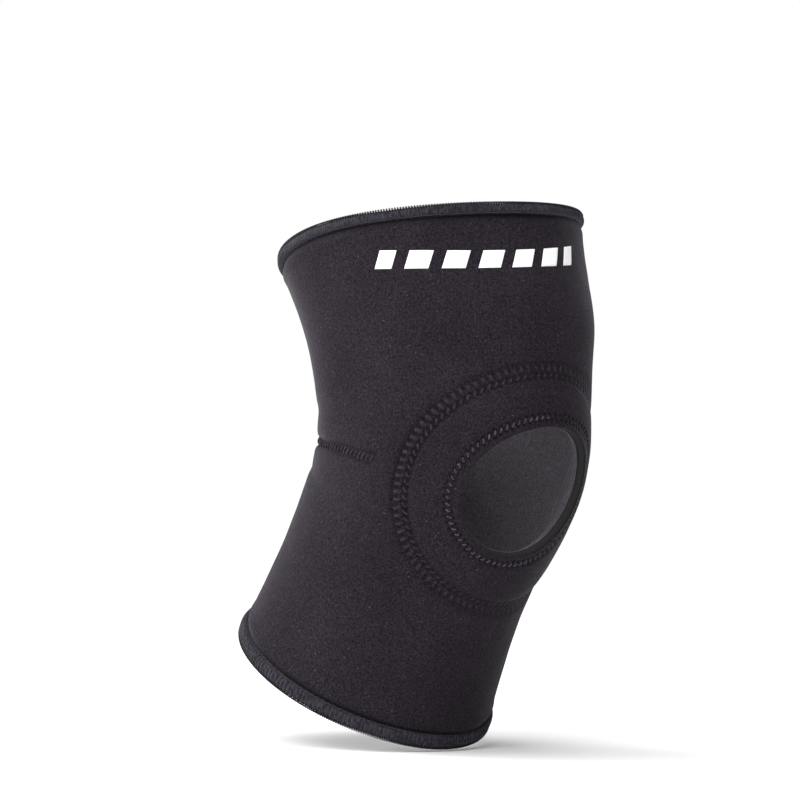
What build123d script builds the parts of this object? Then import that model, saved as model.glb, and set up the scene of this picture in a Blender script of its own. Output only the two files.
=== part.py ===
"""Knee brace: a pull-on neoprene sleeve with a padded kneecap opening, in its worn, bent shape.

Frame: origin at the centre of the knee, +Z up, the front of the knee towards -Y, and the
knee's hinge axis along +X. The thigh cuff is above the origin and the calf cuff below it.
Everything is in millimetres and degrees.
"""
from build123d import *
from math import cos, radians, sin
import os

# ---------------------------------------------------------------- driving dimensions
THIGH_LEAN = 10.5         # the thigh's axis leans back this much above the knee
SHIN_LEAN = 28.0          # the shin's axis runs back this much below the knee

# Outer cross-sections: place along the limb, front depth, rear depth, half width.
SECTIONS = [
    (-110, 64, 64, 64),
    (-86, 61, 64, 60.5),
    (-62, 59, 64.5, 58.5),
    (-36, 59.5, 65.5, 59.5),
    (0, 63, 69, 63),
    (36, 75, 60.2, 65),
    (58, 79, 60.6, 67.2),
    (80, 76.5, 66, 69.8),
    (102, 72.8, 72.8, 72.8),
]
CALF_RADIUS = SECTIONS[0][1]
THIGH_RADIUS = SECTIONS[-1][1]
CALF_END = SECTIONS[0][0]
THIGH_END = SECTIONS[-1][0]

HEM_DIP = 4.0             # the upper hem leans back this much more than the thigh

FABRIC = 0.5              # outer jersey and inner lining, each
FOAM = 3.0                # neoprene between them
WALL = FABRIC + FOAM + FABRIC

HEM_GAP = 3.0             # plain round stretch between the last section and a hem binding
THIGH_HEM_HEIGHT = 5.5    # upper binding's height
CALF_HEM_HEIGHT = 7.5     # lower binding's height
HEM_COVER = 4.0           # how much of the sleeve's edge sits inside a binding
HEM_PROUD = 2.1           # bead stands this far outside the sleeve
HEM_LIP = 1.0             # binding's thickness at its edges and on the inside
HEM_ROUND = 0.6           # rounding of the binding's inner edges
HEM_STITCH = 1.5          # height of the thread band beside each binding
THREAD = 0.5              # how far thread stands proud of the fabric
AIR = 0.02                # thread, print and label lie this far off the fabric

FRONT_SPREAD = 20.0       # half angle of the front knee panel, seen from the hinge axis
REAR_SPREAD = 28.0        # half angle of the rear knee panel
HINGE_CLEARANCE = 0.8     # stiff panels stay this far above and below the hinge axis

OPENING_TWIST = 5.8       # kneecap opening is turned this much towards -X
OPENING_DROP = 20.7       # and faces this much below the horizontal
OPENING_TILT = 17.7       # long axis turned in its own plane
OPENING_RISE = 8.7        # opening's axis passes this far above the origin
OPENING = (37.0, 31.5)    # half width, half height
RING_OUTER = (58.5, 59.5)  # outer edge of the buttress ring, seen along the opening's axis
RING_STITCH = (2.6, 7.0)  # width of the outer stitch row, at the sides and at the top
RING_PAD = 2.5            # thickness of the buttress ring
EDGE_STITCH_GAP = 3.5     # opening's edge to its stitch row
EDGE_STITCH = 3.0         # width of that row

SEAM_WIDTH = 6.0          # rear seam's flatlock stitching
DART_WIDTH = 5.5          # stitching of each popliteal dart
DART_TIP = (-7.0, 0.5)    # a dart's tip on the side of the knee, (Y, Z)
DART_RISE = 9.3           # a dart's stitching rises this much towards the rear seam

MARK_SIZE = (102.0, 8.0)  # plain printed bar on the thigh
MARK_TURN = 27.0          # bar's centre, turned from the front towards -X
MARK_PLACE = 87.0         # bar's place along the thigh
PRINT = 0.25              # thickness of the print

LABEL_SIZE = (30.0, 18.0)  # blank care label
LABEL_THICKNESS = 0.4
LABEL_GAP = 1.5           # label's edge to the lower edge of the thigh binding

FAR = 400.0               # larger than the whole brace
REACH = 150.0             # half the length of a cut across a limb

MIDDLE_TILT = (THIGH_LEAN - SHIN_LEAN) / 2
PLANE_TILTS = {0: MIDDLE_TILT, THIGH_END: THIGH_LEAN + HEM_DIP}


def limb_axis(lean):
    """Direction up a limb that leans back by an angle."""
    return Vector(0, sin(radians(lean)), cos(radians(lean)))


def limb_front(lean):
    """Direction out of a limb's front, square to its axis."""
    return Vector(0, -cos(radians(lean)), sin(radians(lean)))


def limb_plane(place):
    """Plane across the limb at a place along it; its local Y points to the rear."""
    lean = THIGH_LEAN if place > 0 else -SHIN_LEAN
    tilt = PLANE_TILTS.get(place, lean)
    return Plane(origin=limb_axis(lean) * place, x_dir=(1, 0, 0), z_dir=limb_axis(tilt))


def sleeve_body(inset):
    """The sleeve's outer shape, filled, with its surface moved inwards by inset."""
    with BuildPart() as body:
        for place, front, rear, width in SECTIONS:
            with BuildSketch(limb_plane(place)):
                with BuildLine():
                    half_width = width - inset
                    EllipticalCenterArc((0, 0), half_width, rear - inset, 0, arc_size=180)
                    EllipticalCenterArc((0, 0), half_width, front - inset, 180, arc_size=180)
                make_face()
        loft()
        with BuildSketch(limb_plane(THIGH_END)):
            Circle(THIGH_RADIUS - inset)
        extrude(amount=HEM_GAP + HEM_COVER)
        with BuildSketch(limb_plane(CALF_END)):
            Circle(CALF_RADIUS - inset)
        extrude(amount=-HEM_GAP - HEM_COVER)
    return body.part


def zone(*outline):
    """A slab across the whole width whose side view is the outline, in (Y, Z)."""
    with BuildPart() as slab:
        with BuildSketch(Plane.YZ):
            with BuildLine():
                Polyline(*outline, close=True)
            make_face()
        extrude(amount=FAR / 2, both=True)
    return slab.part


def ray(angle):
    """End of a long line from the hinge axis, at an angle above the front of the knee."""
    return (-FAR * cos(radians(angle)), FAR * sin(radians(angle)))


def across(plane, rise, offset):
    """Point in the side view, (Y, Z), above a plane across the limb and in front of its middle."""
    point = plane.origin + plane.z_dir * rise - plane.y_dir * offset
    return (point.Y, point.Z)


def opening_prism(half_width, half_height):
    """Elliptical bar through the front wall, along the kneecap opening's axis."""
    with BuildPart() as bar:
        with BuildSketch(opening_plane):
            with Locations((0, OPENING_RISE)):
                Ellipse(half_width, half_height, rotation=OPENING_TILT)
        extrude(amount=FAR / 2)
    return bar.part


def hem_section(edge):
    """Plane to draw a hem's profile in: X out of the sleeve, Y up its edge plane's normal."""
    return Plane(origin=edge.origin, x_dir=edge.x_dir, z_dir=-edge.y_dir)


def hem_binding(edge, radius, start, height, cover):
    """Rolled binding round a sleeve's edge; start, height and cover are negative at the calf."""
    end = start + height
    inside = radius - WALL - HEM_LIP
    lip = radius + HEM_LIP
    bead = radius + HEM_PROUD
    with BuildPart() as binding:
        with BuildSketch(hem_section(edge)):
            with BuildLine():
                Polyline((lip, end), (inside, end), (inside, start), (radius - WALL, start))
                Polyline((radius - WALL, start), (radius - WALL, start + cover), (radius, start + cover))
                Polyline((radius, start + cover), (radius, start), (lip, start))
                ThreePointArc((lip, start), (bead, start + height / 2), (lip, end))
            make_face()
            fillet(vertices().sort_by(Axis.X)[:2], radius=HEM_ROUND)
        revolve(axis=Axis(edge.origin, edge.z_dir))
    return binding.part


def hem_thread(edge, radius, start, height):
    """Band of thread on the sleeve beside a binding; height is negative at the thigh."""
    with BuildPart() as band:
        with BuildSketch(hem_section(edge)):
            with BuildLine():
                Polyline(
                    (radius, start),
                    (radius + THREAD, start),
                    (radius + THREAD, start + height),
                    (radius, start + height),
                    close=True,
                )
            make_face()
        revolve(axis=Axis(edge.origin, edge.z_dir))
    return band.part


def save(part, name):
    """Label a finished piece and write it."""
    part.label = name
    export_step(part, f"parts/{name}.step")


# ---------------------------------------------------------------- shared shapes
os.makedirs("parts", exist_ok=True)

thread_face = sleeve_body(-THREAD)
print_face = sleeve_body(-PRINT)
thread_base = sleeve_body(-AIR)
outer_face = sleeve_body(0)
foam_face = sleeve_body(FABRIC)
lining_face = sleeve_body(FABRIC + FOAM)
inner_face = sleeve_body(WALL)
label_base = sleeve_body(WALL + AIR)
label_face = sleeve_body(WALL + LABEL_THICKNESS)
pad_face = sleeve_body(WALL + RING_PAD)

thigh_edge = limb_plane(THIGH_END)
calf_edge = limb_plane(CALF_END)
upper_edge = (0, HINGE_CLEARANCE)
lower_edge = (0, -HINGE_CLEARANCE)
front_up = ray(MIDDLE_TILT + FRONT_SPREAD)
front_down = ray(MIDDLE_TILT - FRONT_SPREAD)
rear_up = ray(MIDDLE_TILT + 180 - REAR_SPREAD)
rear_down = ray(MIDDLE_TILT + 180 + REAR_SPREAD)
zones = {
    "thigh": zone(upper_edge, front_up, (-FAR, FAR), (FAR, FAR), rear_up),
    "calf": zone(lower_edge, front_down, (-FAR, -FAR), (FAR, -FAR), rear_down),
    "knee_front": zone(upper_edge, front_up, front_down, lower_edge),
    "knee_rear": zone(upper_edge, rear_up, rear_down, lower_edge),
}
layers = {
    "outer_fabric": (outer_face, foam_face),
    "foam_core": (foam_face, lining_face),
    "lining": (lining_face, inner_face),
}

opening_axis = Vector(0, -1, 0).rotate(Axis.X, OPENING_DROP).rotate(Axis.Z, -OPENING_TWIST)
opening_right = Vector(1, 0, 0).rotate(Axis.Z, -OPENING_TWIST)
opening_plane = Plane(origin=(0, 0, 0), x_dir=opening_right, z_dir=opening_axis)
opening_hole = opening_prism(*OPENING)
ring_edge = opening_prism(*RING_OUTER)

# ---------------------------------------------------------------- sleeve panels
for zone_name, zone_slab in zones.items():
    for layer_name, (outside, inside) in layers.items():
        with BuildPart() as panel:
            add(outside)
            add(inside, mode=Mode.SUBTRACT)
            add(zone_slab, mode=Mode.INTERSECT)
            add(opening_hole, mode=Mode.SUBTRACT)
        save(panel.part, f"{zone_name}_{layer_name}")

# ---------------------------------------------------------------- kneecap buttress
with BuildPart() as patella_ring_pad:
    add(inner_face)
    add(pad_face, mode=Mode.SUBTRACT)
    add(ring_edge, mode=Mode.INTERSECT)
    add(opening_hole, mode=Mode.SUBTRACT)
save(patella_ring_pad.part, "patella_ring_pad")

stitch_inner = (RING_OUTER[0] - RING_STITCH[0], RING_OUTER[1] - RING_STITCH[1])
with BuildPart() as ring_outer_stitching:
    add(thread_face)
    add(thread_base, mode=Mode.SUBTRACT)
    add(ring_edge, mode=Mode.INTERSECT)
    add(opening_prism(*stitch_inner), mode=Mode.SUBTRACT)
save(ring_outer_stitching.part, "ring_outer_stitching")

edge_near = EDGE_STITCH_GAP
edge_far = EDGE_STITCH_GAP + EDGE_STITCH
with BuildPart() as opening_edge_stitching:
    add(thread_face)
    add(thread_base, mode=Mode.SUBTRACT)
    add(opening_prism(OPENING[0] + edge_far, OPENING[1] + edge_far), mode=Mode.INTERSECT)
    add(opening_prism(OPENING[0] + edge_near, OPENING[1] + edge_near), mode=Mode.SUBTRACT)
save(opening_edge_stitching.part, "opening_edge_stitching")

# ---------------------------------------------------------------- rear seam and darts
seam_end = HEM_GAP - HEM_STITCH
between_hems = zone(
    across(thigh_edge, seam_end, REACH),
    across(thigh_edge, seam_end, -REACH),
    across(calf_edge, -seam_end, -REACH),
    across(calf_edge, -seam_end, REACH),
)
for zone_name in ("thigh", "knee_rear", "calf"):
    with BuildPart() as seam:
        add(thread_face)
        add(thread_base, mode=Mode.SUBTRACT)
        add(zones[zone_name], mode=Mode.INTERSECT)
        add(between_hems, mode=Mode.INTERSECT)
        with BuildSketch(Plane.XY.offset(-FAR)):
            with Locations((0, FAR / 2)):
                Rectangle(SEAM_WIDTH, FAR)
        extrude(amount=2 * FAR, mode=Mode.INTERSECT)
    save(seam.part, "rear_knee_seam" if zone_name == "knee_rear" else f"rear_{zone_name}_seam")

dart_plane = Plane(
    origin=(0, *DART_TIP),
    x_dir=(0, cos(radians(DART_RISE)), sin(radians(DART_RISE))),
    z_dir=(1, 0, 0),
)
for side, turn in (("left", -1), ("right", 1)):
    with BuildPart() as dart:
        with BuildSketch(dart_plane.offset(turn * SEAM_WIDTH / 2)):
            SlotOverall(FAR, DART_WIDTH, align=(Align.MIN, Align.CENTER))
        extrude(amount=turn * FAR)
        add(thread_face, mode=Mode.INTERSECT)
        add(thread_base, mode=Mode.SUBTRACT)
    save(dart.part, f"dart_stitching_{side}")

# ---------------------------------------------------------------- hems
top_binding = hem_binding(thigh_edge, THIGH_RADIUS, HEM_GAP, THIGH_HEM_HEIGHT, HEM_COVER)
bottom_binding = hem_binding(calf_edge, CALF_RADIUS, -HEM_GAP, -CALF_HEM_HEIGHT, -HEM_COVER)
save(top_binding, "top_hem_binding")
save(hem_thread(thigh_edge, THIGH_RADIUS, HEM_GAP, -HEM_STITCH), "top_hem_stitching")
save(bottom_binding, "bottom_hem_binding")
save(hem_thread(calf_edge, CALF_RADIUS, -HEM_GAP, HEM_STITCH), "bottom_hem_stitching")

# ---------------------------------------------------------------- printed bar and label
turn = radians(MARK_TURN)
thigh_front = limb_front(THIGH_LEAN)
mark_plane = Plane(
    origin=limb_axis(THIGH_LEAN) * MARK_PLACE,
    x_dir=Vector(cos(turn), 0, 0) + thigh_front * sin(turn),
    z_dir=Vector(-sin(turn), 0, 0) + thigh_front * cos(turn),
)
with BuildPart() as print_mark:
    with BuildSketch(mark_plane):
        SlotOverall(*MARK_SIZE)
    extrude(amount=FAR)
    add(print_face, mode=Mode.INTERSECT)
    add(thread_base, mode=Mode.SUBTRACT)
save(print_mark.part, "print_mark")

label_rise = HEM_GAP - LABEL_GAP - LABEL_SIZE[1] / 2
label_plane = Plane(
    origin=thigh_edge.origin + thigh_edge.z_dir * label_rise,
    x_dir=(1, 0, 0),
    z_dir=thigh_edge.y_dir,
)
with BuildPart() as care_label:
    with BuildSketch(label_plane):
        Rectangle(*LABEL_SIZE)
    extrude(amount=FAR)
    add(label_base, mode=Mode.INTERSECT)
    add(label_face, mode=Mode.SUBTRACT)
save(care_label.part, "care_label")
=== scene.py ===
"""Looks of the knee brace: a neoprene sleeve worn on a bent knee, with its threads and hems.

Shapes are worked out in millimetres in the row frame (+Z up, -Y front, X the hinge axis) and
turned into metres when a mesh is made. A place on the sleeve is (turn, place): turn is the
angle round the limb from its front towards +X, and place runs up the limb from the knee.
"""
from math import cos, pi, radians, sin

import bpy
import numpy as np
from mathutils import Matrix, Vector, noise
from mathutils.kdtree import KDTree


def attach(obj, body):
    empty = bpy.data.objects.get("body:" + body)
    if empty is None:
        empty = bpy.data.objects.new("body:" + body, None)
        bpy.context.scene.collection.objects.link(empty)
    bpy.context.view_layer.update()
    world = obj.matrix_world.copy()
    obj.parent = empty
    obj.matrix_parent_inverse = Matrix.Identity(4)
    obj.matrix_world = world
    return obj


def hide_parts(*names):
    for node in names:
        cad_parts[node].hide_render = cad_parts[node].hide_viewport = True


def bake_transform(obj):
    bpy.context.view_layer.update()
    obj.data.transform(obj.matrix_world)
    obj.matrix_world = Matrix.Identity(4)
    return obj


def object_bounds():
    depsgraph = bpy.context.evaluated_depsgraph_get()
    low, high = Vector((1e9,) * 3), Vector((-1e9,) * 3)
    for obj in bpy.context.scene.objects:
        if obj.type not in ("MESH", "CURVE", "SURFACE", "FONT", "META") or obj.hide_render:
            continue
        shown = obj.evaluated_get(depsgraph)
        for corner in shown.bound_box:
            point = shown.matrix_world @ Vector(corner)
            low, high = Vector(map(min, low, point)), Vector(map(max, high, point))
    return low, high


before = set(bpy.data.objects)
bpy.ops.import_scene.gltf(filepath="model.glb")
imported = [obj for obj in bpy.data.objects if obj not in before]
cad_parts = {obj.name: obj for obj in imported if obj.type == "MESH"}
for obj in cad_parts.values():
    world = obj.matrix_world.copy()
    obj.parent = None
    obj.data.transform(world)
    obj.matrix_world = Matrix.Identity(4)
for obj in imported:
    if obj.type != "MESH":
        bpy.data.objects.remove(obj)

cad_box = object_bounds()
MM = 0.001

# ---------------------------------------------------------------- sizes, as in the CAD
THIGH_LEAN = radians(10.5)
SHIN_LEAN = radians(28.0)
MIDDLE_TILT = (THIGH_LEAN - SHIN_LEAN) / 2
HEM_TILT = THIGH_LEAN + radians(4.0)      # the upper hem's plane dips towards the rear
# place along the limb, front depth, rear depth, half width
SECTIONS = np.array([
    (-110, 64, 64, 64),
    (-86, 61, 64, 60.5),
    (-62, 59, 64.5, 58.5),
    (-36, 59.5, 65.5, 59.5),
    (0, 63, 69, 63),
    (36, 75, 60.2, 65),
    (58, 79, 60.6, 67.2),
    (80, 76.5, 66, 69.8),
    (102, 72.8, 72.8, 72.8),
], float)
PLACES = SECTIONS[:, 0]
CALF_END, THIGH_END = PLACES[0], PLACES[-1]
CALF_RADIUS, THIGH_RADIUS = SECTIONS[0, 1], SECTIONS[-1, 1]

FABRIC = 0.5
FOAM = 3.0
WALL = FABRIC + FOAM + FABRIC
HEM_GAP = 3.0
# The bindings are rolled a little lower than their plain CAD solids.
THIGH_HEM_HEIGHT = 4.2
CALF_HEM_HEIGHT = 6.0
HEM_COVER = 2.8
HEM_PROUD = 2.1
HEM_LIP = 1.0
PAD = 2.5
AIR = 0.02                # layers that lie on each other are this far apart
HEM_WAVE = (1.83, -2.6)   # the upper hem's wave: its sine and cosine of twice the turn
WAVE_START = 55.0         # the wave fades out down to this place
EASE = 2.0                # the flare at each end straightens into the round hem over about this length

OPENING_TWIST = radians(5.8)
OPENING_DROP = radians(20.7)
OPENING_TILT = radians(17.7)
OPENING_RISE = 8.7
OPENING = (37.0, 31.5)

# Outer stitch row of the kneecap ring: centre, half sizes (turn in radians, place in mm),
# and how much lower the row sits towards +X.
RING_CENTRE = (radians(-2.0), -6.0)
RING_SIZE = (radians(65.6), 38.5)
RING_FALL = -3.0

# The grid's patch round the opening: half its turn, and its lower and upper place.
PATCH_TURN = radians(88.0)
PATCH_LOW, PATCH_HIGH = -78.0, 62.0
FRONT_RADIUS, REST_RADIUS = 63, 65    # rough radii of the limb in the patch and beside it
FRONT_LENGTH = 1.2                    # the bent front is about this much longer than its places


def up_at(lean):
    """Direction up a limb, or up from a hem, that leans back by an angle."""
    return np.array([0, sin(lean), cos(lean)])


def hem_wave(turn):
    """The upper hem isn't flat: how far it rides up at each turn, in millimetres."""
    return HEM_WAVE[0] * np.sin(2 * turn) + HEM_WAVE[1] * np.cos(2 * turn)


def smooth(share):
    """Smooth step from 0 to 1."""
    share = np.clip(share, 0, 1)
    return share * share * (3 - 2 * share)


# ---------------------------------------------------------------- the sleeve's surface
def spline_weights(place):
    """Weights of the sections at each place, for a natural cubic spline through them."""
    count = len(PLACES)
    gap = np.diff(PLACES)
    left, right = np.zeros((count, count)), np.zeros((count, count))
    left[0, 0] = left[-1, -1] = 1
    for i in range(1, count - 1):
        left[i, i - 1:i + 2] = gap[i - 1], 2 * (gap[i - 1] + gap[i]), gap[i]
        right[i, i - 1:i + 2] = 6 / gap[i - 1], -6 / gap[i - 1] - 6 / gap[i], 6 / gap[i]
    bend = np.linalg.solve(left, right)
    k = np.clip(np.searchsorted(PLACES, place) - 1, 0, count - 2)
    width = gap[k]
    a = (PLACES[k + 1] - place) / width
    b = 1 - a
    curve = ((a ** 3 - a) * width ** 2 / 6)[..., None] * bend[k]
    curve = curve + ((b ** 3 - b) * width ** 2 / 6)[..., None] * bend[k + 1]
    unit = np.eye(count)
    return curve + a[..., None] * unit[k] + b[..., None] * unit[k + 1]


def between_sections(turn, place):
    """Points on the sleeve between its first and last section."""
    weights = spline_weights(place)
    points = np.zeros(turn.shape + (3,))
    for i, (at, front, rear, half_width) in enumerate(SECTIONS):
        lean = THIGH_LEAN if at > 0 else -SHIN_LEAN
        tilt = {0: MIDDLE_TILT, THIGH_END: HEM_TILT}.get(at, lean)
        depth = np.where(np.cos(turn) > 0, -front, -rear) * np.cos(turn)
        ring = np.stack([
            half_width * np.sin(turn),
            at * sin(lean) + depth * cos(tilt),
            at * cos(lean) - depth * sin(tilt),
        ], -1)
        points += weights[..., i:i + 1] * ring
    return points


def surface(turn, place):
    """Points on the outside of the sleeve, which runs on straight past its end sections."""
    turn, place = np.broadcast_arrays(np.asarray(turn, float), np.asarray(place, float))
    place = place + hem_wave(turn) * smooth((place - WAVE_START) / (THIGH_END - WAVE_START))
    inside = np.clip(place, CALF_END, THIGH_END)
    points = between_sections(turn, inside)
    for end, up, sign in ((THIGH_END, up_at(HEM_TILT), 1), (CALF_END, up_at(-SHIN_LEAN), -1)):
        past = np.maximum(sign * (place - end), 0)
        if past.max() > 0:
            step = 0.1
            at_end = np.full(turn.shape, float(end))
            slope = (between_sections(turn, at_end) - between_sections(turn, at_end - sign * step)) / step
            flare = slope - sign * up
            eased = EASE * (1 - np.exp(-past / EASE))
            points = points + past[..., None] * sign * up + eased[..., None] * flare
    return points


def surface_normal(turn, place):
    """Outward unit normals of the sleeve."""
    round_limb = surface(turn + 1e-3, place) - surface(turn - 1e-3, place)
    up_limb = surface(turn, place + 0.02) - surface(turn, place - 0.02)
    normal = np.cross(round_limb, up_limb)
    return normal / np.linalg.norm(normal, axis=-1, keepdims=True)


opening_out = np.array([
    -sin(OPENING_TWIST) * cos(OPENING_DROP),
    -cos(OPENING_TWIST) * cos(OPENING_DROP),
    -sin(OPENING_DROP),
])
opening_right = np.array([cos(OPENING_TWIST), -sin(OPENING_TWIST), 0])
opening_up = np.cross(opening_out, opening_right)


def opening_curve(angle, grow=0.0):
    """Turn and place of the opening's edge, moved outwards by grow, at angles round it."""
    a, b = OPENING[0] + grow, OPENING[1] + grow
    local = angle - OPENING_TILT
    x, y = a * np.cos(local), b * np.sin(local)
    target = np.stack([
        x * cos(OPENING_TILT) - y * sin(OPENING_TILT),
        x * sin(OPENING_TILT) + y * cos(OPENING_TILT) + OPENING_RISE,
    ], -1)
    flat = np.stack([opening_right, opening_up], -1)
    turn, place = np.zeros_like(angle), np.zeros_like(angle)
    for _ in range(12):
        here = surface(turn, place) @ flat
        by_turn = (surface(turn + 1e-4, place) @ flat - here) / 1e-4
        by_place = (surface(turn, place + 1e-2) @ flat - here) / 1e-2
        miss = target - here
        scale = by_turn[:, 0] * by_place[:, 1] - by_turn[:, 1] * by_place[:, 0]
        turn = turn + (miss[:, 0] * by_place[:, 1] - miss[:, 1] * by_place[:, 0]) / scale
        place = place + (by_turn[:, 0] * miss[:, 1] - by_turn[:, 1] * miss[:, 0]) / scale
    return turn, place


def ring_curve(angle):
    """Turn and place of the kneecap ring's outer stitch row."""
    turn = RING_CENTRE[0] + RING_SIZE[0] * np.cos(angle)
    place = RING_CENTRE[1] + RING_SIZE[1] * np.sin(angle) + RING_FALL * np.cos(angle)
    return turn, place


# ---------------------------------------------------------------- paths on the sleeve
PATH_STEP = 0.5


class Path:
    """An evenly divided line on the sleeve, with its normals and sideways directions."""

    def __init__(self, turn, place, sink=0.0, closed=False):
        points = surface(turn, place)
        steps = np.linalg.norm(np.diff(points, axis=0), axis=1)
        along = np.concatenate([[0], np.cumsum(steps)])
        self.length = along[-1]
        self.closed = closed
        count = int(self.length / PATH_STEP) + 1
        self.along = np.linspace(0, self.length, count)
        self.turn = np.interp(self.along, along, turn)
        self.place = np.interp(self.along, along, place)
        self.normal = surface_normal(self.turn, self.place)
        self.points = surface(self.turn, self.place) - self.normal * sink
        if closed:
            ahead = np.roll(self.points[:-1], -1, 0) - np.roll(self.points[:-1], 1, 0)
            ahead = np.concatenate([ahead, ahead[:1]])
        else:
            ahead = np.gradient(self.points, axis=0)
        ahead /= np.linalg.norm(ahead, axis=1, keepdims=True)
        self.side = np.cross(self.normal, ahead)

    def at(self, along, across, height):
        """Points and normals at distances along, across and above the line."""
        if self.closed:
            along = np.mod(along, self.length)

        def pick(values):
            return np.stack([np.interp(along, self.along, values[:, i]) for i in range(3)], -1)

        normal = pick(self.normal)
        place = pick(self.points) + pick(self.side) * across[:, None] + normal * height[:, None]
        return place, normal


# ---------------------------------------------------------------- meshes
def make_object(name, vertices, faces, body, material, shade=None):
    """A mesh object from millimetre vertices and quads; shade is painted shade that darkens the cloth's
    colour at a point.
    """
    mesh = bpy.data.meshes.new(name)
    vertices = np.asarray(vertices, float) * MM
    faces = np.asarray(faces, np.int32)
    sides = faces.shape[1]
    mesh.vertices.add(len(vertices))
    mesh.vertices.foreach_set("co", vertices.ravel().astype(np.float32))
    mesh.loops.add(faces.size)
    mesh.loops.foreach_set("vertex_index", faces.ravel())
    mesh.polygons.add(len(faces))
    mesh.polygons.foreach_set("loop_start", np.arange(0, faces.size, sides, dtype=np.int32))
    mesh.polygons.foreach_set("use_smooth", np.ones(len(faces), bool))
    mesh.update(calc_edges=True)
    mesh.validate()
    # painted shade: stored as the shade attribute, which the jersey's colour reads
    if shade is not None:
        layer = mesh.attributes.new("shade", "FLOAT", "POINT")
        layer.data.foreach_set("value", np.asarray(shade, np.float32))
    mesh.materials.append(material)
    piece = bpy.data.objects.new(name, mesh)
    bpy.context.scene.collection.objects.link(piece)
    if body is not None:
        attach(piece, body)
    return piece


# Quads that close the end of an eight-sided tube.
TUBE_END = np.array([(0, 1, 2, 7), (7, 2, 3, 6), (6, 3, 4, 5)])


def tube(points, normals, thick, wide, sides=8, closed=False):
    """Vertices and quads of a tube along a line, thick along the normals and wide sideways."""
    if closed:
        ahead = np.roll(points, -1, 0) - np.roll(points, 1, 0)
    else:
        ahead = np.gradient(points, axis=0)
    ahead /= np.linalg.norm(ahead, axis=1, keepdims=True)
    side = np.cross(ahead, normals)
    side /= np.linalg.norm(side, axis=1, keepdims=True)
    up = np.cross(side, ahead)
    count = len(points)
    angle = np.arange(sides) * 2 * pi / sides
    thick = np.broadcast_to(thick, (count,))[:, None, None]
    wide = np.broadcast_to(wide, (count,))[:, None, None]
    across = side[:, None] * np.cos(angle)[None, :, None] * wide
    ring = across + up[:, None] * np.sin(angle)[None, :, None] * thick
    vertices = (points[:, None] + ring).reshape(-1, 3)
    row = np.arange(count if closed else count - 1)[:, None]
    next_row = (row + 1) % count
    spoke = np.arange(sides)
    next_spoke = (spoke + 1) % sides
    faces = np.stack([
        row * sides + spoke, next_row * sides + spoke,
        next_row * sides + next_spoke, row * sides + next_spoke,
    ], -1).reshape(-1, 4)
    if not closed:
        faces = np.concatenate([faces, TUBE_END, TUBE_END[:, ::-1] + (count - 1) * sides])
    return vertices, faces


def join(parts):
    """One set of vertices and quads from several."""
    vertices, faces, start = [], [], 0
    for part_vertices, part_faces in parts:
        vertices.append(part_vertices)
        faces.append(part_faces + start)
        start += len(part_vertices)
    return np.concatenate(vertices), np.concatenate(faces)


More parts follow.
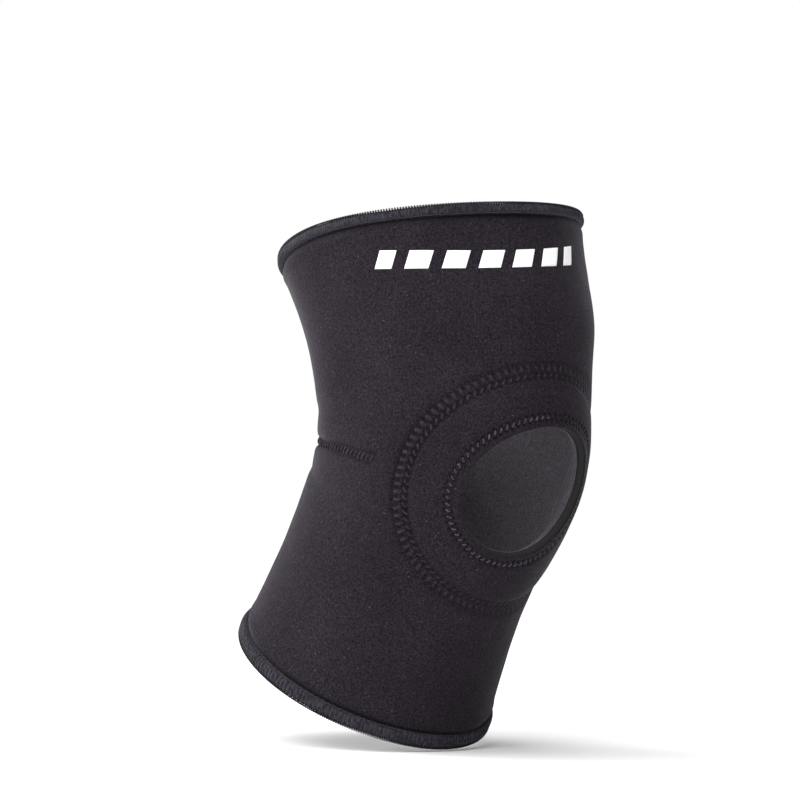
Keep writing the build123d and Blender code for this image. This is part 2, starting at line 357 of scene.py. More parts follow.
# ---------------------------------------------------------------- the sleeve's grid
class Grid:
    """Quads over the whole sleeve, with rings of quads round the kneecap opening.

    The quads are about a cell wide. The first rings lie at the shares in edge_rows of the way
    from the opening's edge to the stitch row.
    """

    def __init__(self, cell, edge_rows):
        middle = RING_CENTRE[0]
        patch_columns = 2 * int(PATCH_TURN * FRONT_RADIUS / cell / 2 + 0.5) * 2
        rest_columns = int((2 * pi - 2 * PATCH_TURN) * REST_RADIUS / cell)
        patch_rows = int((PATCH_HIGH - PATCH_LOW) * FRONT_LENGTH / cell)
        top = THIGH_END + HEM_GAP + HEM_COVER
        bottom = CALF_END - HEM_GAP - HEM_COVER
        low_rows = int((PATCH_LOW - bottom) / cell)
        high_rows = int((top - PATCH_HIGH) / cell)
        turns = np.concatenate([
            np.linspace(middle - PATCH_TURN, middle + PATCH_TURN, patch_columns + 1),
            np.linspace(middle + PATCH_TURN, middle + 2 * pi - PATCH_TURN, rest_columns + 1)[1:-1],
        ])
        places = np.concatenate([
            np.linspace(bottom, PATCH_LOW, low_rows + 1)[:-1],
            np.linspace(PATCH_LOW, PATCH_HIGH, patch_rows + 1),
            np.linspace(PATCH_HIGH, top, high_rows + 1)[1:],
        ])
        rows, columns = len(places), len(turns)
        first_row, last_row = low_rows, low_rows + patch_rows
        row, column = np.meshgrid(np.arange(rows), np.arange(columns), indexing="ij")
        hole = (row > first_row) & (row < last_row) & (column > 0) & (column < patch_columns)
        index = np.full((rows, columns), -1)
        index[~hole] = np.arange((~hole).sum())
        turn, place = turns[column[~hole]], places[row[~hole]]
        quads = []
        for r in range(rows - 1):
            c = np.arange(columns)
            if first_row <= r < last_row:
                c = c[patch_columns:]
            n = (c + 1) % columns
            quads.append(np.stack([index[r, c], index[r, n], index[r + 1, n], index[r + 1, c]], -1))
        across, up = np.arange(patch_columns), np.arange(patch_rows)
        edge = np.concatenate([
            index[first_row, across],
            index[first_row + up, patch_columns],
            index[last_row, patch_columns - across],
            index[last_row - up, 0],
        ])
        x = (turn[edge] - middle) / PATCH_TURN
        y = (place[edge] - (PATCH_LOW + PATCH_HIGH) / 2) * 2 / (PATCH_HIGH - PATCH_LOW)
        angle = np.arctan2(y, x)
        inner = np.stack(opening_curve(angle), -1)
        stitched = np.stack(ring_curve(angle), -1)
        outer = np.stack([turn[edge], place[edge]], -1)
        # the rings of quads are closer together on both sides of the stitch row
        before, beyond = 0.80, 0.2
        fractions = np.concatenate([
            edge_rows,
            np.linspace(edge_rows[-1], before, int(28 / cell))[1:],
            np.linspace(before, 1, int(14 / cell))[1:],
        ])
        outward = np.concatenate([
            np.linspace(0, beyond, int(12 / cell))[1:],
            np.linspace(beyond, 1, int(22 / cell))[1:-1],
        ])
        rings = [inner * (1 - f) + stitched * f for f in fractions]
        rings += [stitched * (1 - f) + outer * f for f in outward]
        count = len(edge)
        base = len(turn)
        ring_index = [base + k * count + np.arange(count) for k in range(len(rings))] + [edge]
        for a, b in zip(ring_index[:-1], ring_index[1:]):
            quads.append(np.stack([a, b, np.roll(b, -1), np.roll(a, -1)], -1))
        ring_points = np.concatenate(rings)
        self.turn = np.concatenate([turn, ring_points[:, 0]])
        self.place = np.concatenate([place, ring_points[:, 1]])
        self.quads = np.concatenate(quads)
        self.loops = [ring_index[0], index[0][::-1], index[-1]]
        self.rim_rows = ring_index
        self.points = surface(self.turn, self.place)
        self.normals = surface_normal(self.turn, self.place)


def shell(grid, outer_depth, inner_depth):
    """Closed layer between two depths below the sleeve's surface, one depth per point."""
    count = len(grid.turn)
    outside = grid.points - grid.normals * np.broadcast_to(outer_depth, count)[:, None]
    inside = grid.points - grid.normals * np.broadcast_to(inner_depth, count)[:, None]
    faces = [grid.quads, grid.quads[:, ::-1] + count]
    for loop in grid.loops:
        ahead = np.roll(loop, -1)
        faces.append(np.stack([loop, ahead, ahead + count, loop + count], -1))
    return np.concatenate([outside, inside]), np.concatenate(faces)


def near(points, marks, reach):
    """Distance from each point to the nearest mark, no more than reach."""
    tree = KDTree(len(marks))
    for i, mark in enumerate(marks):
        tree.insert(mark, i)
    tree.balance()
    low, high = marks.min(0) - reach, marks.max(0) + reach
    distance = np.full(len(points), float(reach))
    for i in np.nonzero(((points > low) & (points < high)).all(1))[0]:
        distance[i] = min(reach, tree.find(points[i])[2])
    return distance


def dent(distance, width):
    """A smooth dent's depth, 1 at its middle, over a half width."""
    return np.exp(-(distance / width) ** 2)


# ---------------------------------------------------------------- rows of stitches
class Row:
    """A row of bar stitches: its path, its needle holes and its thread.

    Each stitch crosses the row's width and leans along it by slant pitches. The cloth gapes
    beside each stitch, between the two shares of the width in slot.
    """

    def __init__(self, path, pitch, width, slant, shift=0.0, phase=0.0, slot=(0.1, 0.9)):
        self.path, self.width, self.shift = path, width, shift
        self.count = int(path.length / pitch)
        self.pitch = path.length / self.count
        self.slant = slant * self.pitch
        self.start = (np.arange(self.count) + phase) * self.pitch
        self.holes = np.concatenate([
            self.spots(self.start, shift - width / 2),
            self.spots(self.start + self.slant, shift + width / 2),
        ])
        self.slots = np.concatenate([
            self.spots(self.start + self.pitch / 2 + self.slant * share, shift + width * (share - 0.5))
            for share in np.linspace(*slot, 7)
        ])

    def spots(self, along, across):
        """One point per stitch, at distances along and across the row."""
        return self.path.at(along, np.full(self.count, across), np.zeros(self.count))[0]

    def thread(self, wide, thick, lift, dip, sunk=0.0):
        """Flattened bars across the row, joined by thin legs under the cloth.

        A bar rises lift above the path, its ends dip below it, and sunk lowers it as a whole.
        """
        u = np.linspace(0, 1, 9)
        under = np.array([0.3, 0.7])
        start = self.start[:, None]
        leg = start + self.slant + under * (self.pitch - self.slant)
        along = np.concatenate([start + u * self.slant, leg], 1)
        across = np.concatenate([u - 0.5, 0.5 - under]) * self.width + self.shift
        arch = np.sin(pi * u) ** 0.6
        height = np.concatenate([-dip + (lift + dip) * arch, np.full(2, -dip - 0.7)])
        height = (height[None] - np.broadcast_to(sunk, self.count)[:, None]).ravel()
        swell = np.concatenate([0.15 + 0.85 * np.sin(pi * u) ** 0.9, np.full(2, 0.15)])
        uneven = 1 + 0.14 * np.sin(self.start * 1.7) + 0.10 * np.sin(self.start * 0.63)
        swell = np.outer(uneven, swell).ravel()
        points, normals = self.path.at(along.ravel(), np.tile(across, self.count), height)
        return tube(points, normals, thick * swell, wide * swell, closed=self.path.closed)


full_turn = np.linspace(0, 2 * pi, 721)
ring_path = Path(*ring_curve(full_turn), sink=0.5, closed=True)
ring_bars = Row(ring_path, pitch=3.75, width=5.0, slant=-0.2, shift=-1.4, slot=(-0.05, 0.5))
ring_braid = Row(ring_path, pitch=3.75, width=2.8, slant=0.7, shift=2.5, phase=0.2, slot=(0.3, 0.9))
ring_slots = np.concatenate([ring_bars.slots, ring_braid.slots])
ring_holes = np.concatenate([ring_bars.holes, ring_braid.holes])
edge_path = Path(*opening_curve(full_turn, grow=4.4), sink=-0.1, closed=True)
edge_row = Row(edge_path, pitch=3.2, width=2.7, slant=0.6)

FADE_UPPER, FADE_LOWER = radians(35.0), radians(285.0)    # where the ring's row fades most


def ring_fade(angle):
    """Share of the ring's stitching that the cloth hides, at angles round the ring."""
    upper = np.clip(np.cos(angle - FADE_UPPER), 0, 1) ** 2
    lower = np.clip(np.cos(angle - FADE_LOWER), 0, 1) ** 3
    return np.maximum(upper, 0.6 * lower)


def ring_place(turn, place):
    """Distance and angle of each place round the ring, where the stitch row is at 1."""
    across = (turn - RING_CENTRE[0]) / RING_SIZE[0]
    up = (place - RING_CENTRE[1] - RING_FALL * across) / RING_SIZE[1]
    return np.hypot(across, up), np.arctan2(up, across)


def ring_sink(row):
    """How much deeper the ring's thread lies where the cloth swells over it, per stitch."""
    return 0.85 * ring_fade(row.start / row.path.length * 2 * pi)


DART_TIP = radians(82.0)      # turn of each dart's tip
DART_LEVEL = 3.2              # place of a dart at the rear seam
DART_ARCH, DART_DROP = 1.2, 1.4


def dart_path(sign):
    """A dart's line, from the rear seam forward and down to its tip on the side of the knee."""
    share = np.linspace(0, 1, 200)
    turn = pi - share * (pi - DART_TIP)
    arch = DART_ARCH * np.sin(pi * np.clip(share * 1.1, 0, 1))
    return Path(sign * turn, DART_LEVEL + arch - DART_DROP * share ** 6, sink=0.35)


dart_rows = {
    name: Row(dart_path(sign), pitch=2.7, width=4.8, slant=0.85)
    for name, sign in (("left", -1), ("right", 1))
}
seam_places = np.linspace(CALF_END - HEM_GAP + 2, THIGH_END + HEM_GAP - 2, 300)
seam_path = Path(np.full(300, pi), seam_places, sink=0.2)
seam_row = Row(seam_path, pitch=2.4, width=4.8, slant=0.5)


# ---------------------------------------------------------------- shape of the cloth
BUTTRESS = 0.8                # the ring behind the cloth lifts it this much
FOLD_PLACE = 3.5              # place of the fold behind the knee
SHOWN_LOSS = 0.6              # share of the ring's dents that is lost where its row fades


def pressed(points, marks, reach, depth, width):
    """How deep marks press each point of the cloth in, when each makes a dent of this size."""
    return depth * dent(near(points, marks, reach), width)


def relief(points, turn, place):
    """How far each point of the cloth is pushed in, in millimetres, from its plain surface."""
    distance, angle = ring_place(turn, place)
    shown = 1 - SHOWN_LOSS * ring_fade(angle)
    push = pressed(points, ring_path.points, reach=14, depth=0.50, width=4.6)
    push += shown * pressed(points, ring_slots, reach=3, depth=1.00, width=0.75)
    push += shown * pressed(points, ring_holes, reach=3, depth=0.90, width=0.85)
    push += pressed(points, edge_path.points, reach=8, depth=0.40, width=2.2)
    push += pressed(points, edge_row.holes, reach=3, depth=0.70, width=0.8)
    for row in dart_rows.values():
        push += pressed(points, row.path.points, reach=10, depth=0.30, width=2.4)
        push += pressed(points, row.holes, reach=3, depth=0.80, width=0.8)
    push += pressed(points, seam_path.points, reach=8, depth=0.35, width=2.4)
    # the fold behind the knee, deepest on the rear seam, with a soft swell on each side of it
    behind = np.clip(-np.cos(turn) * 1.15, 0, 1) ** 1.5
    fold = place - FOLD_PLACE
    push += behind * (2.2 * dent(fold, 4.5) - 0.8 * dent(fold - 13, 8) - 0.8 * dent(fold + 13, 8))
    push += behind * (0.8 * dent(place - 31, 5) + 0.8 * dent(place + 27, 5))
    # the buttress ring's lift falls off over the last fifth before the stitch row
    push -= BUTTRESS * (1 - np.clip((distance - 0.8) / 0.2, 0, 1))
    # hems draw the cloth in just beside them, and it swells again beyond
    for beside in (THIGH_END + HEM_GAP - place, place - CALF_END + HEM_GAP):
        push += 1.2 * dent(beside, 1.9) - 0.40 * dent(beside - 4.8, 2.2)
    return push


def shade(points, turn, place):
    """How much painted shade darkens the cloth's colour in stitch holes and in the grooves beside the hems,
    from 0 to 1.
    """
    shown = 1 - SHOWN_LOSS * ring_fade(ring_place(turn, place)[1])
    # painted shade in the ring's stitch slots and needle holes, fading where the row fades
    dark = shown * pressed(points, ring_slots, reach=3, depth=1, width=0.65)
    dark = np.maximum(dark, shown * pressed(points, ring_holes, reach=3, depth=1, width=0.75))
    for row in (edge_row, *dart_rows.values(), seam_row):
        dark = np.maximum(dark, pressed(points, row.holes, reach=3, depth=0.9, width=0.85))
    # painted shade in the groove beside each hem
    for beside in (THIGH_END + HEM_GAP - place, place - CALF_END + HEM_GAP):
        dark = np.maximum(dark, dent(beside, 1.8))
    return dark


def soft_waves(points):
    """Slow unevenness of stretched neoprene, in millimetres."""
    return np.array([
        0.45 * noise.noise(Vector(p) * 0.028) + 0.14 * noise.noise(Vector(p) * 0.09) for p in points
    ])


# ---------------------------------------------------------------- materials
class Shader:
    """A principled material and a short way to add nodes to it."""

    def __init__(self, name, color, roughness, **values):
        self.material = bpy.data.materials.new(name)
        self.material.use_nodes = True
        self.tree = self.material.node_tree
        self.surface = self.tree.nodes["Principled BSDF"]
        self.surface.inputs["Base Color"].default_value = (*color, 1)
        self.surface.inputs["Roughness"].default_value = roughness
        for key, value in values.items():
            self.surface.inputs[key.replace("_", " ")].default_value = value
        self.place = self.tree.nodes.new("ShaderNodeTexCoord")

    def node(self, kind, inputs=None, **settings):
        made = self.tree.nodes.new(kind)
        for key, value in settings.items():
            setattr(made, key, value)
        for key, value in (inputs or {}).items():
            if isinstance(value, bpy.types.NodeSocket):
                self.tree.links.new(value, made.inputs[key])
            else:
                made.inputs[key].default_value = value
        return made

    def link(self, output, key):
        self.tree.links.new(output, self.surface.inputs[key])

    def noise(self, size_mm, detail=2.0, roughness=0.5, stretch=None):
        """Noise whose features are about size_mm across."""
        coordinate = self.place.outputs["Object"]
        if stretch is not None:
            scaled = self.node("ShaderNodeVectorMath", {0: coordinate, 1: stretch}, operation="MULTIPLY")
            coordinate = scaled.outputs[0]
        made = self.node("ShaderNodeTexNoise", {
            "Vector": coordinate, "Scale": 1000.0 / size_mm, "Detail": detail, "Roughness": roughness,
        })
        return made.outputs["Fac"]

    def ramp(self, value, stops):
        """Colour ramp through (position, grey or colour) stops."""
        made = self.node("ShaderNodeValToRGB", {"Fac": value})
        ramp = made.color_ramp
        while len(ramp.elements) < len(stops):
            ramp.elements.new(0.5)
        for element, (position, shade) in zip(ramp.elements, stops):
            element.position = position
            element.color = (*shade, 1) if isinstance(shade, tuple) else (shade, shade, shade, 1)
        return made.outputs["Color"]

    def mix(self, factor, a, b, blend="MIX"):
        made = self.node("ShaderNodeMix", data_type="RGBA", blend_type=blend)
        for key, value in ((0, factor), (6, a), (7, b)):
            if isinstance(value, bpy.types.NodeSocket):
                self.tree.links.new(value, made.inputs[key])
            else:
                made.inputs[key].default_value = value if key == 0 else (*value, 1)
        return made.outputs[2]

    def bump(self, height, distance_mm, strength=1.0, normal=None):
        inputs = {"Height": height, "Distance": distance_mm * MM, "Strength": strength}
        if normal is not None:
            inputs["Normal"] = normal
        return self.node("ShaderNodeBump", inputs).outputs["Normal"]


PAINTED_HOLE_SHADE = (0.0008, 0.0007, 0.0008)    # painted shade: colour standing in for the shadow deep in a stitch hole


def jersey_material(name, dark, light, speck):
    """Knit nylon jersey: fine grain, painted shade in stitch holes and beside the hems, pale specks of lint
    and soft sheen.
    """
    s = Shader(name, dark, 0.85, Sheen_Weight=0.15, Sheen_Roughness=0.30, Specular_IOR_Level=0.05)
    s.surface.inputs["Sheen Tint"].default_value = (0.93, 0.90, 1.0, 1)
    grain = s.noise(1.0, detail=5.0, roughness=0.85)
    patch = s.noise(45, detail=2.0)
    base = s.mix(s.ramp(grain, [(0.39, 0.0), (0.63, 1.0)]), dark, light)
    cloudy = s.mix(s.ramp(patch, [(0.35, 0.0), (0.7, 1.0)]), (0.86, 0.86, 0.86), (1.12, 1.12, 1.12))
    base = s.mix(1.0, base, cloudy, "MULTIPLY")
    dots = s.node("ShaderNodeTexVoronoi", {"Vector": s.place.outputs["Object"], "Scale": 420.0})
    lint = s.ramp(dots.outputs["Distance"], [(0.06, 0.8), (0.18, 0.0)])
    chosen = s.ramp(s.noise(7.0, detail=1.0), [(0.47, 0.0), (0.65, 1.0)])
    lint = s.mix(1.0, lint, chosen, "MULTIPLY")
    base = s.mix(lint, base, speck)
    # painted shade: the mesh's shade attribute mixes the colour towards the dark hole colour in stitch
    # holes and hem grooves
    painted_shade = s.node("ShaderNodeAttribute", attribute_name="shade").outputs["Fac"]
    s.link(s.mix(painted_shade, base, PAINTED_HOLE_SHADE), "Base Color")
    knit = s.noise(0.75, detail=2.0, roughness=0.6)
    s.link(s.bump(knit, 0.32, 0.9), "Normal")
    return s.material


def foam_material():
    """Cut edge of closed-cell foam: matt, with small pores."""
    s = Shader("foam", (0.012, 0.012, 0.013), 0.92, Specular_IOR_Level=0.2)
    cells = s.node("ShaderNodeTexVoronoi", {"Vector": s.place.outputs["Object"], "Scale": 2600.0})
    s.link(s.ramp(cells.outputs["Distance"], [(0.1, 0.006), (0.6, 0.02)]), "Base Color")
    s.link(s.bump(cells.outputs["Distance"], 0.15, 0.8), "Normal")
    return s.material


def binding_material():
    """Elastic binding: fine fibres across the band, a little smoother and bluer than the jersey."""
    s = Shader("binding", (0.018, 0.018, 0.022), 0.75, Sheen_Weight=0.11, Sheen_Roughness=0.35)
    s.surface.inputs["Sheen Tint"].default_value = (0.90, 0.88, 1.0, 1)
    s.surface.inputs["Specular IOR Level"].default_value = 0.14
    fibre = s.noise(0.9, detail=3.0, roughness=0.65, stretch=(1.0, 1.0, 0.3))
    tone = s.noise(14, detail=2.0)
    base = s.mix(s.ramp(fibre, [(0.36, 0.0), (0.66, 1.0)]), (0.0050, 0.0042, 0.0062), (0.038, 0.033, 0.046))
    uneven = s.mix(s.ramp(tone, [(0.35, 0.0), (0.7, 1.0)]), (0.8, 0.8, 0.8), (1.15, 1.15, 1.15))
    s.link(s.mix(1.0, base, uneven, "MULTIPLY"), "Base Color")
    s.link(s.bump(fibre, 0.18, 0.9), "Normal")
    return s.material


def thread_material(name, dark, light):
    """Textured nylon thread: fine plies and a soft gloss."""
    s = Shader(name, dark, 0.7, Sheen_Weight=0.08, Sheen_Roughness=0.3, Specular_IOR_Level=0.14)
    s.surface.inputs["Sheen Tint"].default_value = (0.95, 0.88, 1.0, 1)
    ply = s.noise(0.6, detail=2.0)
    s.link(s.mix(s.ramp(ply, [(0.36, 0.0), (0.64, 1.0)]), dark, light), "Base Color")
    s.link(s.bump(ply, 0.14, 0.9), "Normal")
    return s.material


def print_material():
    """White heat-transfer print, with the cloth's grain showing through."""
    s = Shader("print", (0.86, 0.86, 0.87), 0.5, Specular_IOR_Level=0.3)
    grain = s.noise(0.9, detail=2.0)
    tone = s.mix(s.ramp(grain, [(0.3, 0.0), (0.7, 1.0)]), (0.80, 0.80, 0.82), (0.92, 0.92, 0.93))
    s.link(tone, "Base Color")
    s.link(s.bump(grain, 0.08, 0.6), "Normal")
    return s.material


def label_material():
    """Blank satin care label, with a fine ribbed weave."""
    s = Shader("label", (0.78, 0.78, 0.75), 0.45, Sheen_Weight=0.3)
    weave = s.noise(0.6, detail=2.0, stretch=(1.0, 1.0, 4.0))
    tone = s.mix(s.ramp(weave, [(0.3, 0.0), (0.7, 1.0)]), (0.68, 0.68, 0.65), (0.84, 0.84, 0.81))
    s.link(tone, "Base Color")
    s.link(s.bump(weave, 0.08, 0.8), "Normal")
    return s.material


jersey = jersey_material(
    "jersey", dark=(0.0054, 0.0040, 0.0058), light=(0.0278, 0.0219, 0.0294), speck=(0.085, 0.077, 0.089))
lining = jersey_material(
    "lining", dark=(0.050, 0.045, 0.052), light=(0.125, 0.112, 0.130), speck=(0.19, 0.18, 0.20))
foam = foam_material()
binding = binding_material()
thread = thread_material("thread", (0.0050, 0.0037, 0.0055), (0.034, 0.0265, 0.0360))
# painted highlight: the opening's edge thread is a lighter copy of the thread colours, standing in for the
# highlights on its stitches
painted_highlight_thread = thread_material("edge_thread", (0.0100, 0.0085, 0.0110), (0.082, 0.070, 0.086))
dark_thread = thread_material("hem_thread", (0.003, 0.003, 0.0035), (0.012, 0.0115, 0.014))
white_print = print_material()
ribbon = label_material()


def bends(piece):
    """Bakes the piece's transform into its mesh."""
    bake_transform(piece)


def nodes_of(layer):
    """The CAD nodes of one layer of the sleeve."""
    return [f"{zone}_{layer}" for zone in ("thigh", "calf", "knee_front", "knee_rear")]


# ---------------------------------------------------------------- layers of the sleeve
fine = Grid(1.25, [0, 0.006, 0.014, 0.026, 0.045])
push = relief(fine.points, fine.turn, fine.place) + soft_waves(fine.points)
rounding = np.zeros(len(fine.turn))
for row_index, depth in zip(fine.rim_rows, (0.35, 0.14, 0.04)):
    rounding[row_index] = depth
# the jersey's colour gets painted shade in stitch holes and beside the hems, on both of its faces
jersey_piece = make_object(
    "sleeve_jersey", *shell(fine, push + rounding, push + FABRIC - rounding * 0.2), None, jersey,
    shade=np.tile(shade(fine.points, fine.turn, fine.place), 2))

# The foam's coarser face stays well behind the jersey, except round the opening's cut edge.
FOAM_INSET = 1.2
coarse = Grid(3.6, [0, 0.02, 0.05])
coarse_push = relief(coarse.points, coarse.turn, coarse.place) + soft_waves(coarse.points)
hidden = np.ones(len(coarse.turn))
hidden[coarse.rim_rows[0]] = 0
hidden[coarse.rim_rows[1]] = 0.3
foam_top = coarse_push + FABRIC + FOAM_INSET * hidden
foam_piece = make_object("sleeve_foam", *shell(coarse, foam_top, WALL - FABRIC - AIR), None, foam)

medium = Grid(2.2, [0, 0.01, 0.03])
lining_piece = make_object("sleeve_lining", *shell(medium, WALL - FABRIC, WALL), None, lining)

for piece, layer in ((jersey_piece, "outer_fabric"), (foam_piece, "foam_core"), (lining_piece, "lining")):
    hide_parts(*nodes_of(layer))
    bends(piece)


# ---------------------------------------------------------------- kneecap ring behind the cloth
def ring_pad():
    """The padded ring on the inside of the sleeve, thinned towards both of its edges."""
    count, rows = 360, 22
    angle = np.linspace(0, 2 * pi, count, endpoint=False)
    inner = np.stack(opening_curve(angle, grow=0.8), -1)
    outer = np.stack(ring_curve(angle), -1)
    last_share = 0.97         # the pad ends just short of the stitch row
    share = np.linspace(0, last_share, rows)
    rings = inner[None] * (1 - share)[:, None, None] + outer[None] * share[:, None, None]
    turn, place = rings[..., 0].ravel(), rings[..., 1].ravel()
    points, normals = surface(turn, place), surface_normal(turn, place)
    edge = np.minimum(share / 0.06, (last_share - share) / 0.10)
    thick = PAD * np.sqrt(1 - (1 - np.clip(edge, 0.05, 1)) ** 2)
    thick = np.repeat(thick, count)
    waves = soft_waves(points) * 0.5
    near_side = points - normals * (WALL + AIR)
    far_side = points - normals * (WALL + AIR + waves + thick)[:, None]
    row, column = np.arange(rows - 1)[:, None], np.arange(count)
    ahead = (column + 1) % count
    sheet = np.stack([
        row * count + column, (row + 1) * count + column,
        (row + 1) * count + ahead, row * count + ahead,
    ], -1).reshape(-1, 4)
    total = rows * count
    last = (rows - 1) * count
    first_edge = np.stack([column, ahead, ahead + total, column + total], -1)
    last_edge = np.stack([last + ahead, last + column, last + column + total, last + ahead + total], -1)
    faces = np.concatenate([sheet, sheet[:, ::-1] + total, first_edge, last_edge])
    return np.concatenate([near_side, far_side]), faces


pad_piece = make_object("kneecap_ring_pad", *ring_pad(), None, lining)
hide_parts("patella_ring_pad")
bends(pad_piece)

# ---------------------------------------------------------------- threads
ring_thread = make_object("ring_outer_thread", *join([
    ring_bars.thread(wide=0.64, thick=0.40, lift=0.05, dip=0.9, sunk=ring_sink(ring_bars)),
    ring_braid.thread(wide=0.5, thick=0.42, lift=0.10, dip=0.8, sunk=ring_sink(ring_braid)),
]), None, thread)
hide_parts("ring_outer_stitching")
edge_sink = 0.45 * np.clip(np.cos(edge_row.start / edge_path.length * 2 * pi - radians(50.0)), 0, 1) ** 2
# this row's lighter thread colour is painted highlight
edge_thread = make_object(
    "opening_edge_thread", *edge_row.thread(wide=0.50, thick=0.42, lift=0.45, dip=0.8, sunk=edge_sink),
    None, painted_highlight_thread)
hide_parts("opening_edge_stitching")
bending_threads = [ring_thread, edge_thread]
for name, row in dart_rows.items():
    dart_thread = make_object(
        f"dart_thread_{name}", *row.thread(wide=0.48, thick=0.38, lift=0.30, dip=0.8), None, thread)
    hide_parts(f"dart_stitching_{name}")
    bending_threads.append(dart_thread)
seam_thread = make_object(
    "rear_seam_thread", *seam_row.thread(wide=0.8, thick=0.5, lift=0.3, dip=0.5), None, thread)
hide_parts("rear_thigh_seam", "rear_knee_seam", "rear_calf_seam")
bending_threads.append(seam_thread)
for piece in bending_threads:
    bends(piece)


# ---------------------------------------------------------------- hems
def round_limb(edge, angle, radius, rise):
    """Points round a limb at angles from +X towards its front, above its last section's plane."""
    origin, lean, wave = edge
    frame_rows = np.array([[1, 0, 0], [0, -cos(lean), sin(lean)], [0, sin(lean), cos(lean)]])
    turn = pi / 2 - angle
    local = np.stack([radius * np.cos(angle), radius * np.sin(angle), rise + wave * hem_wave(turn)], -1)
    return origin + local @ frame_rows


def hem(edge, radius, height, sign, ribs, rib_depth):
    """Rolled binding: up the outside, over the edge and down the inside, ribbed across."""
    columns = ribs * 6
    angle = np.linspace(0, 2 * pi, columns, endpoint=False)
    inside = radius - WALL - HEM_LIP
    roll = np.linspace(-pi / 2, pi / 2, 15)
    edge_proud = 0.35         # how proud the band still is at its two edges
    outside = edge_proud + (HEM_PROUD - edge_proud) * np.cos(roll) ** 0.8
    profile = [(radius - 0.9, -0.1)]
    profile += [(radius + out, height * (0.5 + 0.5 * sin(a))) for out, a in zip(outside, roll)]
    profile += [(radius - 0.6, height + 0.25), (radius - 2.4, height + 0.3), (inside + 0.9, height)]
    profile += [(inside + 0.25, height - 0.5), (inside, height - 1.3)]
    profile += [(inside, height / 2), (inside + 0.1, 0.6), (inside + 0.5, 0.0)]
    profile += [(radius - WALL - AIR, 0.1), (radius - WALL - AIR, HEM_COVER + 0.2)]
    profile += [(radius - 0.9, HEM_COVER + 0.2)]
    profile = np.array(profile)
    rib_share = np.zeros(len(profile))
    rib_share[2:15] = 1
    rib_share[15:24] = 0.6, 0.8, 0.7, 0.6, 0.5, 0.4, 0.4, 0.3, 0.2
    uneven = np.array([noise.noise(Vector((cos(a), sin(a), radius)) * 3.0) for a in angle])
    rib = np.cos(angle * ribs) * (1 + 0.6 * uneven)
    r = profile[:, 0][:, None] + rib_share[:, None] * (rib_depth * rib + 0.25 * uneven)
    h = HEM_GAP + profile[:, 1][:, None] + 0.2 * uneven * rib_share[:, None]
    vertices = round_limb(edge, np.broadcast_to(angle, r.shape), r, sign * h).reshape(-1, 3)
    rows = len(profile)
    row, column = np.arange(rows)[:, None], np.arange(columns)
    next_row, ahead = (row + 1) % rows, (column + 1) % columns
    faces = np.stack([
        row * columns + column, row * columns + ahead,
        next_row * columns + ahead, next_row * columns + column,
    ], -1).reshape(-1, 4)
    return vertices, faces if sign < 0 else faces[:, ::-1]


def overlock(edge, radius, rise, loops, across, size):
    """Thread wound round the binding's outer edge in small slanted loops."""
    steps = 9
    t = np.arange(loops * steps)
    angle = t * 2 * pi / (loops * steps)
    swing = t * 2 * pi / steps
    points = round_limb(edge, angle, radius + across[0] * np.cos(swing), rise + across[1] * np.sin(swing))
    middle = round_limb(edge, angle, radius, rise)
    return tube(points, points - middle, size, size, sides=5, closed=True)


def groove_thread(edge, radius, rise, stitches, size):
    """Straight lockstitches in the groove beside a binding."""
    steps = 8
    t = np.arange(stitches * steps)
    angle = t * 2 * pi / (stitches * steps)
    arch = np.sin(pi * (t % steps) / steps) ** 0.6
    points = round_limb(edge, angle, radius - 1.1 + 0.5 * arch, rise)
    outwards = round_limb(edge, angle, radius + 10, rise) - points
    return tube(points, outwards, size * (0.7 + 0.3 * arch), size * (0.7 + 0.3 * arch), closed=True)


top_edge = (up_at(THIGH_LEAN) * THIGH_END, HEM_TILT, 1)
bottom_edge = (up_at(-SHIN_LEAN) * CALF_END, -SHIN_LEAN, 0)
# side, edge, radius, height, direction, ribs, rib depth, body
hems = (
    ("top", top_edge, THIGH_RADIUS, THIGH_HEM_HEIGHT, 1, 380, 0.12, "thigh_cuff"),
    ("bottom", bottom_edge, CALF_RADIUS, CALF_HEM_HEIGHT, -1, 185, 0.26, "calf_cuff"),
)
for side, edge, radius, height, sign, ribs, rib_depth, body in hems:
    vertices, faces = hem(edge, radius, height, sign, ribs, rib_depth)
    hem_piece = make_object(f"{side}_hem_band", vertices, faces, body, binding)
    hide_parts(f"{side}_hem_binding")
    wound = overlock(edge, radius + 0.7, sign * (HEM_GAP + height - 0.3), 350, (1.15, 0.85), 0.40)
    line = groove_thread(edge, radius, sign * (HEM_GAP - 0.5), 130, 0.36)
    hem_thread = make_object(f"{side}_hem_thread", *join([wound, line]), body, dark_thread)
    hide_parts(f"{side}_hem_stitching")

# ---------------------------------------------------------------- print and label
MARK_TURN = radians(-27.0)
MARK_PLACE = 85.6
MARK_LENGTH, MARK_HEIGHT = 112.0, 8.0
MARK_SLANT = 4.5              # each dash leans this much to the right over its height
MARK_RADIUS = 73.5            # the limb's radius under the print
MARK_BOW, MARK_REACH = 3.0, radians(43.5)     # the row is this much higher so far from its middle
DASHES = (8.0, 11.0, 11.0, 11.0, 11.0, 11.0, 8.0)
PRINT_DEPTHS = (-0.14, 0.05)
LABEL_SIZE = (30.0, 18.0)
LABEL_TOP = 1.5               # the label's upper edge is this far above the last section
LABEL_DEPTHS = (WALL + 0.05, WALL + 0.45)


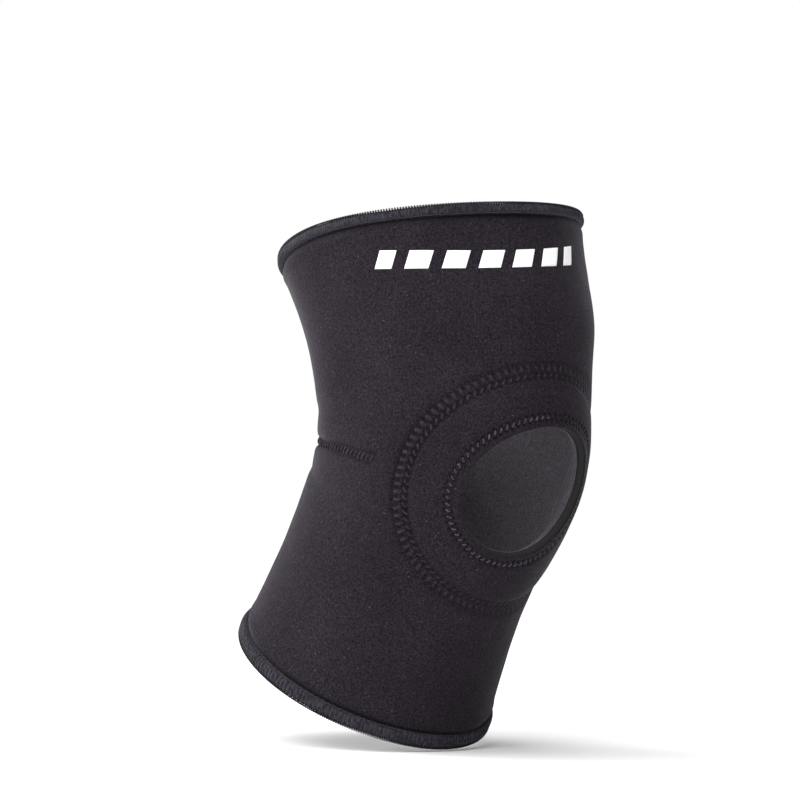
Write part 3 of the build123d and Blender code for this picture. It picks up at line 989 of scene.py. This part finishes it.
def patch(corners, depths, columns=24, rows=8, on_cloth=True):
    """Thin patch on the sleeve between four (turn, place) corners and two depths below its outside.

    On the cloth it follows the cloth's dents; inside the sleeve the lining has none.
    """
    across, up = np.meshgrid(np.linspace(0, 1, columns), np.linspace(0, 1, rows))
    low_left, low_right, high_right, high_left = np.array(corners, float)
    low = low_left + (low_right - low_left) * across[..., None]
    high = high_left + (high_right - high_left) * across[..., None]
    turn, place = np.moveaxis(low + (high - low) * up[..., None], -1, 0).reshape(2, -1)
    points, normals = surface(turn, place), surface_normal(turn, place)
    lift = relief(points, turn, place) + soft_waves(points) if on_cloth else np.zeros(len(points))
    outside = points - normals * (lift + depths[0])[:, None]
    inside = points - normals * (lift + depths[1])[:, None]
    total = rows * columns
    index = np.arange(total).reshape(rows, columns)
    quads = np.stack([index[:-1, :-1], index[:-1, 1:], index[1:, 1:], index[1:, :-1]], -1).reshape(-1, 4)
    loop = np.concatenate([index[0, :-1], index[:-1, -1], index[-1, :0:-1], index[:0:-1, 0]])
    ahead = np.roll(loop, -1)
    rim = np.stack([loop, loop + total, ahead + total, ahead], -1)
    return np.concatenate([outside, inside]), np.concatenate([quads, quads[:, ::-1] + total, rim])


def dash(start, width):
    """One slanted dash of the printed row, from its start along the row."""
    corners = []
    for along, side in ((start, 0), (start + width, 0), (start + width, 1), (start, 1)):
        turn = MARK_TURN + (along - MARK_LENGTH / 2 + MARK_SLANT * (side - 0.5)) / MARK_RADIUS
        bow = MARK_BOW * ((turn - MARK_TURN) / MARK_REACH) ** 2
        corners.append((turn, MARK_PLACE + bow + MARK_HEIGHT * (side - 0.5)))
    return patch(corners, PRINT_DEPTHS)


spare = (MARK_LENGTH - MARK_SLANT - sum(DASHES)) / (len(DASHES) - 1)
starts = MARK_SLANT / 2 + np.concatenate([[0], np.cumsum(np.array(DASHES[:-1]) + spare)])
mark = make_object(
    "plain_print_dashes", *join([dash(start, width) for start, width in zip(starts, DASHES)]),
    "thigh_cuff", white_print)
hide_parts("print_mark")

label_turn = LABEL_SIZE[0] / 2 / (THIGH_RADIUS - WALL)
label_high = THIGH_END + LABEL_TOP
label_low = label_high - LABEL_SIZE[1]
label_corners = [
    (pi - label_turn, label_low), (pi + label_turn, label_low),
    (pi + label_turn, label_high), (pi - label_turn, label_high),
]
label_piece = make_object(
    "blank_care_label", *patch(label_corners, LABEL_DEPTHS, 40, 24, on_cloth=False),
    "thigh_cuff", ribbon)
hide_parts("care_label")


# ---------------------------------------------------------------- floor, light and camera
def stage_material():
    s = Shader("stage", (0.98, 0.98, 0.98), 0.9, Specular_IOR_Level=0.1)
    tone = s.noise(900, detail=1.0)
    s.link(s.ramp(tone, [(0.3, 0.98), (0.7, 0.99)]), "Base Color")
    return s.material


def area_light(name, position, target, size, power):
    """Square softbox facing a target, in metres and watts."""
    data = bpy.data.lights.new(name, "AREA")
    data.size = size
    data.energy = power
    light = bpy.data.objects.new(name, data)
    bpy.context.scene.collection.objects.link(light)
    light.location = position
    light.rotation_euler = (Vector(target) - Vector(position)).to_track_quat("-Z", "Y").to_euler()


floor_level = cad_box[0][2] / MM - 0.4
floor_size = 6000.0           # half the floor's width
floor = make_object("floor", [
    (-floor_size, -floor_size, floor_level), (floor_size, -floor_size, floor_level),
    (floor_size, floor_size, floor_level), (-floor_size, floor_size, floor_level),
], [(0, 1, 2, 3)], None, stage_material())

# The backdrop is seen white, and lights the object more softly than that.
BACKDROP_LIGHT = 0.32
world = bpy.data.worlds.new("studio")
world.use_nodes = True
backdrop = world.node_tree
seen = backdrop.nodes.new("ShaderNodeLightPath").outputs["Is Camera Ray"]
level_of_light = backdrop.nodes.new("ShaderNodeMapRange")
level_of_light.inputs["To Min"].default_value = BACKDROP_LIGHT
level_of_light.inputs["To Max"].default_value = 1.0
backdrop.links.new(seen, level_of_light.inputs["Value"])
backdrop.nodes["Background"].inputs["Color"].default_value = (1, 1, 1, 1)
backdrop.links.new(level_of_light.outputs[0], backdrop.nodes["Background"].inputs["Strength"])
bpy.context.scene.world = world
bpy.context.scene.view_settings.view_transform = "Standard"

sun_data = bpy.data.lights.new("sky", "SUN")
sun_data.energy = 2.5
sun_data.angle = radians(60)
sun = bpy.data.objects.new("sky", sun_data)
bpy.context.scene.collection.objects.link(sun)
sun.rotation_euler = Vector((-0.40, 0.05, 0.92)).to_track_quat("Z", "Y").to_euler()
area_light("key", (-1.5, -0.6, 0.8), (0, 0, 0), 1.0, 23)
area_light("edge", (-0.9, 1.4, 0.5), (0, 0, 0), 0.8, 22)

VIEW_SIDE = radians(45.0)         # the camera stands this far round from the front towards -X
VIEW_RISE = radians(-1.8)
VIEW_ROLL = radians(2.0)
VIEW_DISTANCE = 1.5
VIEW_HEIGHT = 0.384               # what the picture takes in at the knee
VIEW_SHIFT = (-0.0257, 0.0309)    # picture's centre, right of and above the knee's centre

back = Vector((-sin(VIEW_SIDE) * cos(VIEW_RISE), -cos(VIEW_SIDE) * cos(VIEW_RISE), sin(VIEW_RISE)))
level = Vector((cos(VIEW_SIDE), -sin(VIEW_SIDE), 0))
above = back.cross(level)
right = level * cos(VIEW_ROLL) + above * sin(VIEW_ROLL)
upward = above * cos(VIEW_ROLL) - level * sin(VIEW_ROLL)
camera_data = bpy.data.cameras.new("camera")
camera_data.sensor_width = 36
camera_data.lens = 36 * VIEW_DISTANCE / VIEW_HEIGHT
camera = bpy.data.objects.new("camera", camera_data)
bpy.context.scene.collection.objects.link(camera)
place = back * VIEW_DISTANCE + right * VIEW_SHIFT[0] + upward * VIEW_SHIFT[1]
turned = Matrix((right, upward, back)).transposed().to_4x4()
camera.matrix_world = Matrix.Translation(place) @ turned
bpy.context.scene.camera = camera
